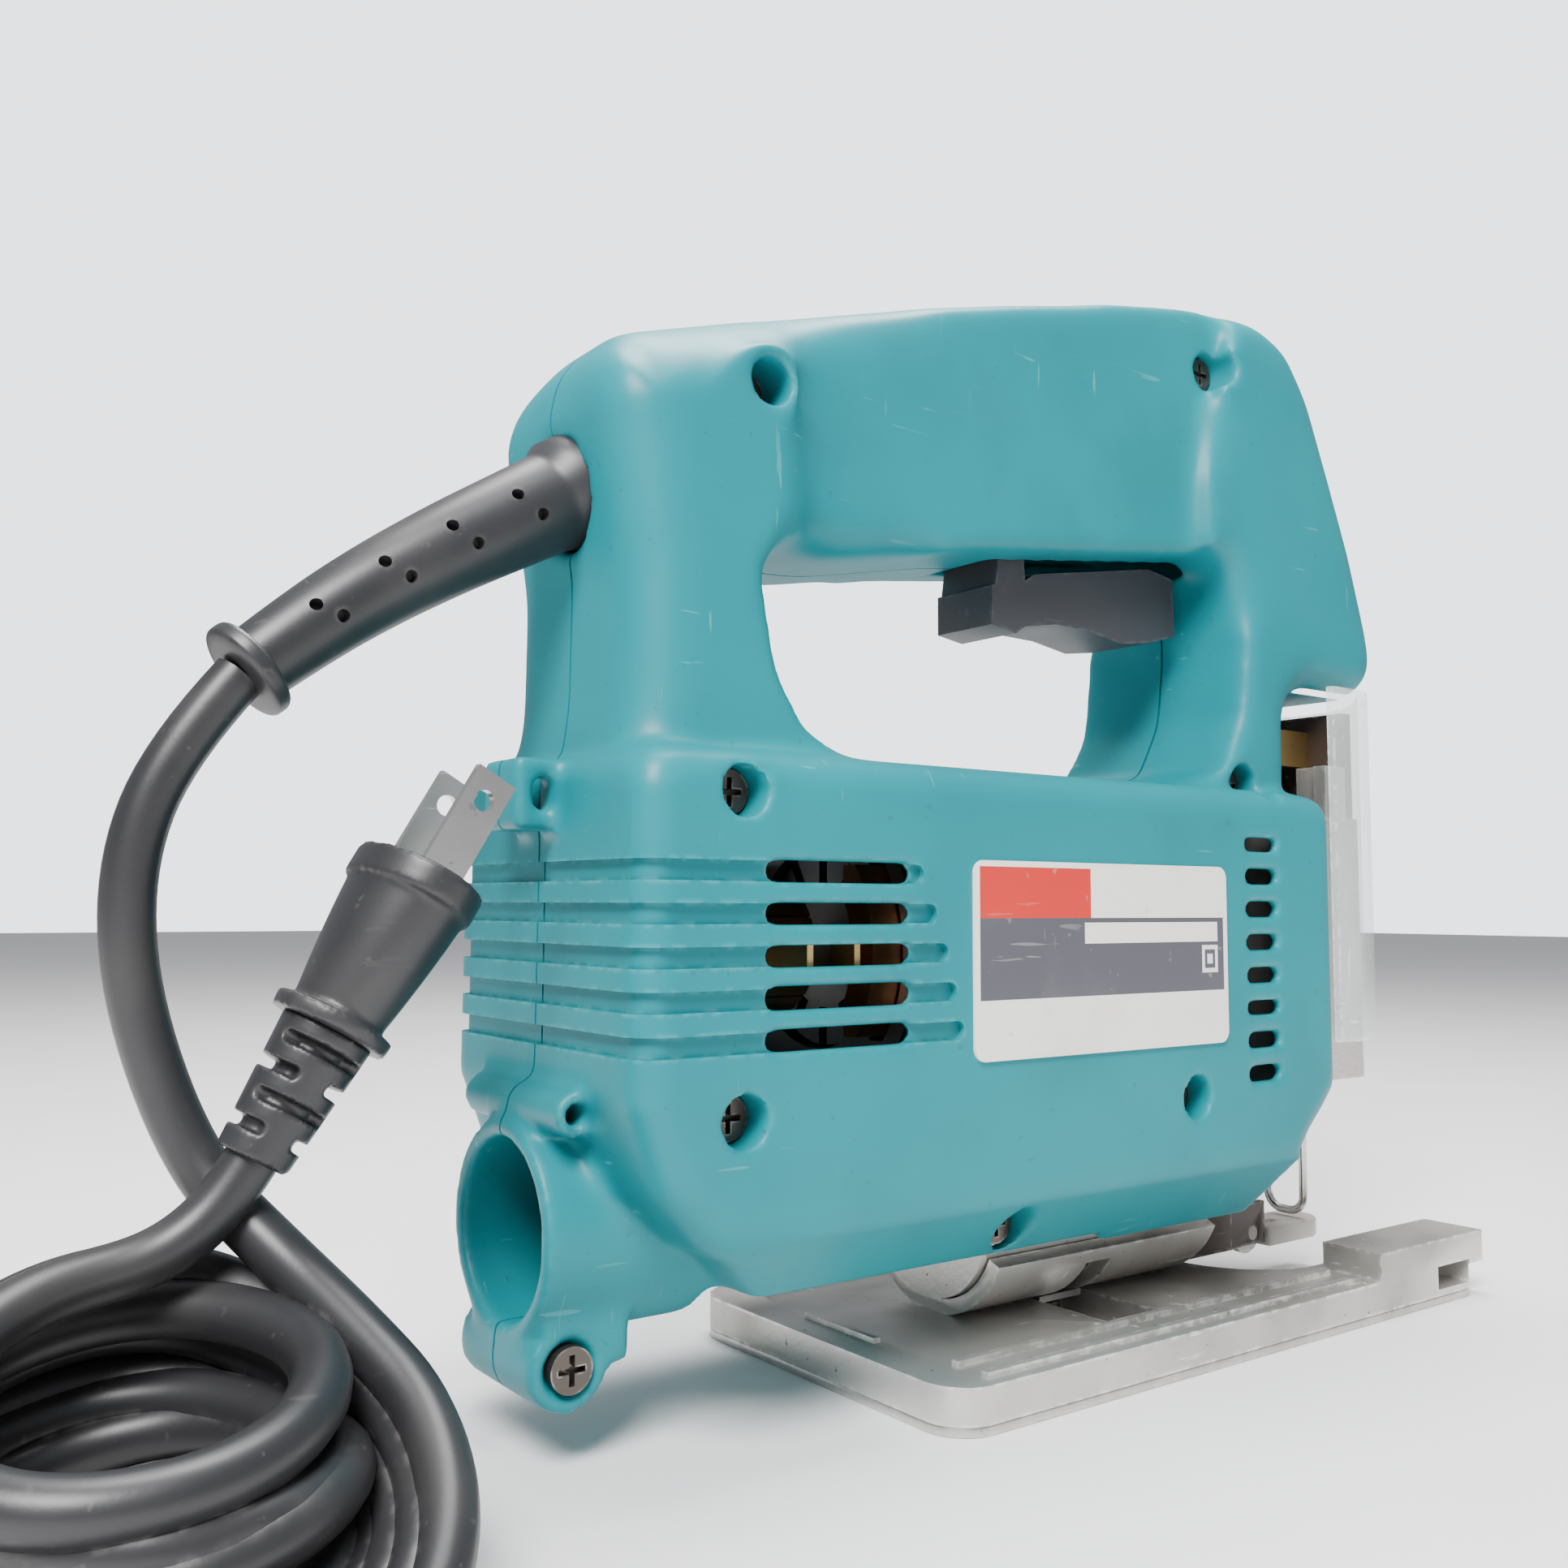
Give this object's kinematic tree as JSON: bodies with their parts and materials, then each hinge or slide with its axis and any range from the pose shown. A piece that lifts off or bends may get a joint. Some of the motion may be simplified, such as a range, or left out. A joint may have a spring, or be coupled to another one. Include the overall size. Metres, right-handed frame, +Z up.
{
  "type": "corded jigsaw",
  "caption": "Corded jigsaw with a closed D handle, two moulded half shells, tilting cast base plate, dust nozzle, clear front cover and a hanked cord with plug.",
  "frame": {"origin": "under the middle of the tool, on the surface its base plate stands on, cord left out", "axes": "+X forwards to the blade end, +Y to the user's left, +Z up"},
  "size_m": [0.2976, 0.106, 0.2068],
  "materials": {
    "housing_teal": "moulded glass-filled nylon, satin, scuffed",
    "cast_aluminium": "die-cast, tumbled",
    "sole_steel": "pressed steel sheet, worn",
    "dark_steel": "blackened steel",
    "bright_steel": "ground steel",
    "silicon_steel": "laminated sheet",
    "copper": "enamelled copper wire and copper bars",
    "brass": "drawn brass",
    "carbon": "pressed carbon",
    "black_plastic": "moulded plastic, satin",
    "trigger_grey": "moulded plastic, satin",
    "white_plastic": "moulded acetal",
    "clear_plastic": "clear polycarbonate, hazy",
    "label": "printed plate with plain colour fields",
    "cord_rubber": "flexible rubber, slight sheen",
    "screw_black": "blackened screw steel"
  },
  "bodies": {
    "tool": {"bevel_shoe": "cast_aluminium", "base_bolt": "dark_steel", "bolt_washer": "bright_steel", "housing_right": "housing_teal", "housing_left": "housing_teal", "housing_screws": "screw_black", "nozzle_screw": "screw_black", "name_plate": "label", "field_core": "silicon_steel", "field_coils": "copper", "carbon_brushes": "carbon", "brush_holders": "brass", "rear_bearing": "bright_steel", "front_bearing": "bright_steel", "gear_case": "cast_aluminium", "gear_pin": "bright_steel", "rod_guides": "brass", "guide_plate": "dark_steel", "roller_holder": "dark_steel", "roller_pin": "bright_steel", "roller_retainer": "white_plastic", "wire_guard": "bright_steel", "switch_body": "black_plastic", "trigger_pin": "bright_steel", "cord_guard": "cord_rubber", "power_cord": "cord_rubber", "cord_hank": "cord_rubber", "plug_lead": "cord_rubber", "plug_relief": "cord_rubber", "plug_body": "cord_rubber", "plug_blades": "bright_steel"},
    "base": {"base_plate": "cast_aluminium", "base_sole": "sole_steel"},
    "armature": {"armature_shaft": "bright_steel", "armature_core": "silicon_steel", "commutator": "copper", "cooling_fan": "black_plastic", "drive_pinion": "bright_steel"},
    "gear": {"crank_gear": "dark_steel"},
    "slider": {"saw_rod": "bright_steel", "blade_clamp": "dark_steel", "clamp_screw": "screw_black"},
    "cover": {"dust_cover": "clear_plastic"},
    "roller": {"blade_roller": "bright_steel"},
    "trigger": {"trigger": "trigger_grey"},
    "lock": {"lock_button": "black_plastic"}
  },
  "joints": [
    {"name": "base_bevel", "type": "hinge", "parent": "tool", "child": "base", "pos_m": [0.01, 0, 0.0262], "axis": [1, 0, 0], "range_deg": [-45, 45]},
    {"name": "armature_spin", "type": "hinge", "parent": "tool", "child": "armature", "pos_m": [0, 0, 0.074], "axis": [1, 0, 0], "continuous": true},
    {"name": "gear_spin", "type": "hinge", "parent": "tool", "child": "gear", "pos_m": [0.06, 0, 0.0948], "axis": [1, 0, 0], "continuous": true},
    {"name": "rod_stroke", "type": "slide", "parent": "tool", "child": "slider", "axis": [0, 0, 1], "range_m": [-0.009, 0.009]},
    {"name": "cover_slide", "type": "slide", "parent": "tool", "child": "cover", "axis": [0, 0, -1], "range_m": [0, 0.015]},
    {"name": "roller_spin", "type": "hinge", "parent": "tool", "child": "roller", "pos_m": [0.0703, 0, 0.011], "axis": [0, 1, 0], "continuous": true},
    {"name": "trigger_pull", "type": "hinge", "parent": "tool", "child": "trigger", "pos_m": [-0.004, 0, 0.152], "axis": [0, -1, 0], "range_deg": [0, 7], "stiffness_Nm_per_rad": 0.9, "springref_deg": -8.59},
    {"name": "lock_press", "type": "slide", "parent": "tool", "child": "lock", "axis": [0, -1, 0], "range_m": [0, 0.003], "stiffness_N_per_m": 400, "springref_m": -0.002}
  ],
  "couplings": [
    {"joint": "gear_spin", "follows": "armature_spin", "ratio": -0.18182}
  ]
}
